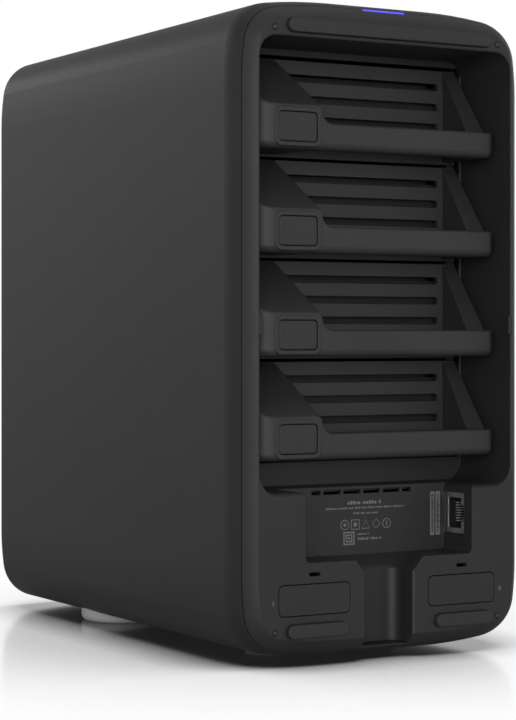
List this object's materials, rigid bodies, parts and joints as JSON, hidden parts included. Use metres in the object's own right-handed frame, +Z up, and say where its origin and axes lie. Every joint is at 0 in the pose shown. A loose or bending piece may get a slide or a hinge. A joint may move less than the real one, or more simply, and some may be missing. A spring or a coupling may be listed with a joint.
{
  "type": "network attached storage",
  "caption": "Tall rounded desktop storage box with its front cover off: pull-out drive trays with latch buttons, recessed network socket, cable channel, small SSD trays and a rear fan.",
  "frame": {"origin": "centre of the bounding box in X and Y, on the surface the feet stand on", "axes": "+Z up, the drive bays face -Y, +Y is the rear with the fan grille, X is the width"},
  "size_m": [0.129, 0.2256, 0.2485],
  "materials": {
    "shell_paint": "fine satin, charcoal",
    "bezel_plastic": "fine matte texture, near black",
    "rear_paint": "matte powder coat",
    "foot_rubber": "matte",
    "light_lens": "translucent, lit from behind",
    "pad_rubber": "soft matte",
    "pin_plastic": "satin",
    "print_white": "flat printed ink",
    "board_green": "solder mask",
    "shield_steel": "tin plated",
    "socket_plastic": "moulded black",
    "contact_gold": "gold plated",
    "cage_steel": "zinc plated sheet",
    "rail_plastic": "moulded",
    "chip_plastic": "moulded black",
    "heatsink_metal": "anodised",
    "fan_plastic": "moulded black",
    "screw_steel": "black zinc",
    "tray_plastic": "fine matte texture",
    "button_plastic": "satin",
    "door_plastic": "fine matte texture",
    "drive_metal": "cast, satin"
  },
  "bodies": {
    "housing": {"outer_shell": "shell_paint", "bay_bezel": "bezel_plastic", "rear_panel": "rear_paint", "feet": "foot_rubber", "status_light_bar": "light_lens", "status_light_board": "board_green", "cover_pad_top": "pad_rubber", "cover_pads_lower": "pad_rubber", "locating_pins": "pin_plastic", "bay_marks": "print_white", "panel_marks": "print_white", "port_marks": "print_white", "network_socket_shield": "shield_steel", "network_socket_insert": "socket_plastic", "network_socket_contacts": "contact_gold", "port_board": "board_green", "cage_side_plates": "cage_steel", "cage_cross_plates": "cage_steel", "drive_rails": "rail_plastic", "cage_posts": "shield_steel", "backplane_board": "board_green", "sata_connectors": "socket_plastic", "ssd_guides": "rail_plastic", "m2_connectors": "socket_plastic", "mainboard": "board_green", "board_standoffs": "contact_gold", "mainboard_chips": "chip_plastic", "processor_heatsink": "heatsink_metal", "power_board": "board_green", "power_components": "chip_plastic", "power_inlet": "socket_plastic", "fan_frame": "fan_plastic", "panel_screws": "screw_steel"},
    "tray_1": {"drive_tray_1": "tray_plastic", "hard_drive_1": "drive_metal"},
    "button_1": {"tray_button_1": "button_plastic"},
    "latch_1": {"tray_latch_1": "rail_plastic"},
    "tray_2": {"drive_tray_2": "tray_plastic", "hard_drive_2": "drive_metal"},
    "button_2": {"tray_button_2": "button_plastic"},
    "latch_2": {"tray_latch_2": "rail_plastic"},
    "tray_3": {"drive_tray_3": "tray_plastic", "hard_drive_3": "drive_metal"},
    "button_3": {"tray_button_3": "button_plastic"},
    "latch_3": {"tray_latch_3": "rail_plastic"},
    "tray_4": {"drive_tray_4": "tray_plastic", "hard_drive_4": "drive_metal"},
    "button_4": {"tray_button_4": "button_plastic"},
    "latch_4": {"tray_latch_4": "rail_plastic"},
    "ssd_1": {"ssd_tray_1": "door_plastic", "ssd_board_1": "board_green"},
    "ssd_2": {"ssd_tray_2": "door_plastic", "ssd_board_2": "board_green"},
    "rotor": {"fan_rotor": "fan_plastic"}
  },
  "joints": [
    {"name": "tray_1_slide", "type": "slide", "parent": "housing", "child": "tray_1", "axis": [0, -1, 0], "range_m": [0, 0.19]},
    {"name": "button_1_press", "type": "slide", "parent": "tray_1", "child": "button_1", "axis": [0, 1, 0], "range_m": [0, 0.0022], "stiffness_N_per_m": 400},
    {"name": "latch_1_draw", "type": "slide", "parent": "tray_1", "child": "latch_1", "axis": [1, 0, 0], "range_m": [0, 0.0022]},
    {"name": "tray_2_slide", "type": "slide", "parent": "housing", "child": "tray_2", "axis": [0, -1, 0], "range_m": [0, 0.19]},
    {"name": "button_2_press", "type": "slide", "parent": "tray_2", "child": "button_2", "axis": [0, 1, 0], "range_m": [0, 0.0022], "stiffness_N_per_m": 400},
    {"name": "latch_2_draw", "type": "slide", "parent": "tray_2", "child": "latch_2", "axis": [1, 0, 0], "range_m": [0, 0.0022]},
    {"name": "tray_3_slide", "type": "slide", "parent": "housing", "child": "tray_3", "axis": [0, -1, 0], "range_m": [0, 0.19]},
    {"name": "button_3_press", "type": "slide", "parent": "tray_3", "child": "button_3", "axis": [0, 1, 0], "range_m": [0, 0.0022], "stiffness_N_per_m": 400},
    {"name": "latch_3_draw", "type": "slide", "parent": "tray_3", "child": "latch_3", "axis": [1, 0, 0], "range_m": [0, 0.0022]},
    {"name": "tray_4_slide", "type": "slide", "parent": "housing", "child": "tray_4", "axis": [0, -1, 0], "range_m": [0, 0.19]},
    {"name": "button_4_press", "type": "slide", "parent": "tray_4", "child": "button_4", "axis": [0, 1, 0], "range_m": [0, 0.0022], "stiffness_N_per_m": 400},
    {"name": "latch_4_draw", "type": "slide", "parent": "tray_4", "child": "latch_4", "axis": [1, 0, 0], "range_m": [0, 0.0022]},
    {"name": "ssd_1_slide", "type": "slide", "parent": "housing", "child": "ssd_1", "axis": [0, -1, 0], "range_m": [0, 0.085]},
    {"name": "ssd_2_slide", "type": "slide", "parent": "housing", "child": "ssd_2", "axis": [0, -1, 0], "range_m": [0, 0.085]},
    {"name": "fan_spin", "type": "hinge", "parent": "housing", "child": "rotor", "pos_m": [0, 0.0955, 0.154], "axis": [0, 1, 0], "continuous": true}
  ],
  "couplings": [
    {"joint": "latch_1_draw", "follows": "button_1_press", "ratio": 1},
    {"joint": "latch_2_draw", "follows": "button_2_press", "ratio": 1},
    {"joint": "latch_3_draw", "follows": "button_3_press", "ratio": 1},
    {"joint": "latch_4_draw", "follows": "button_4_press", "ratio": 1}
  ]
}
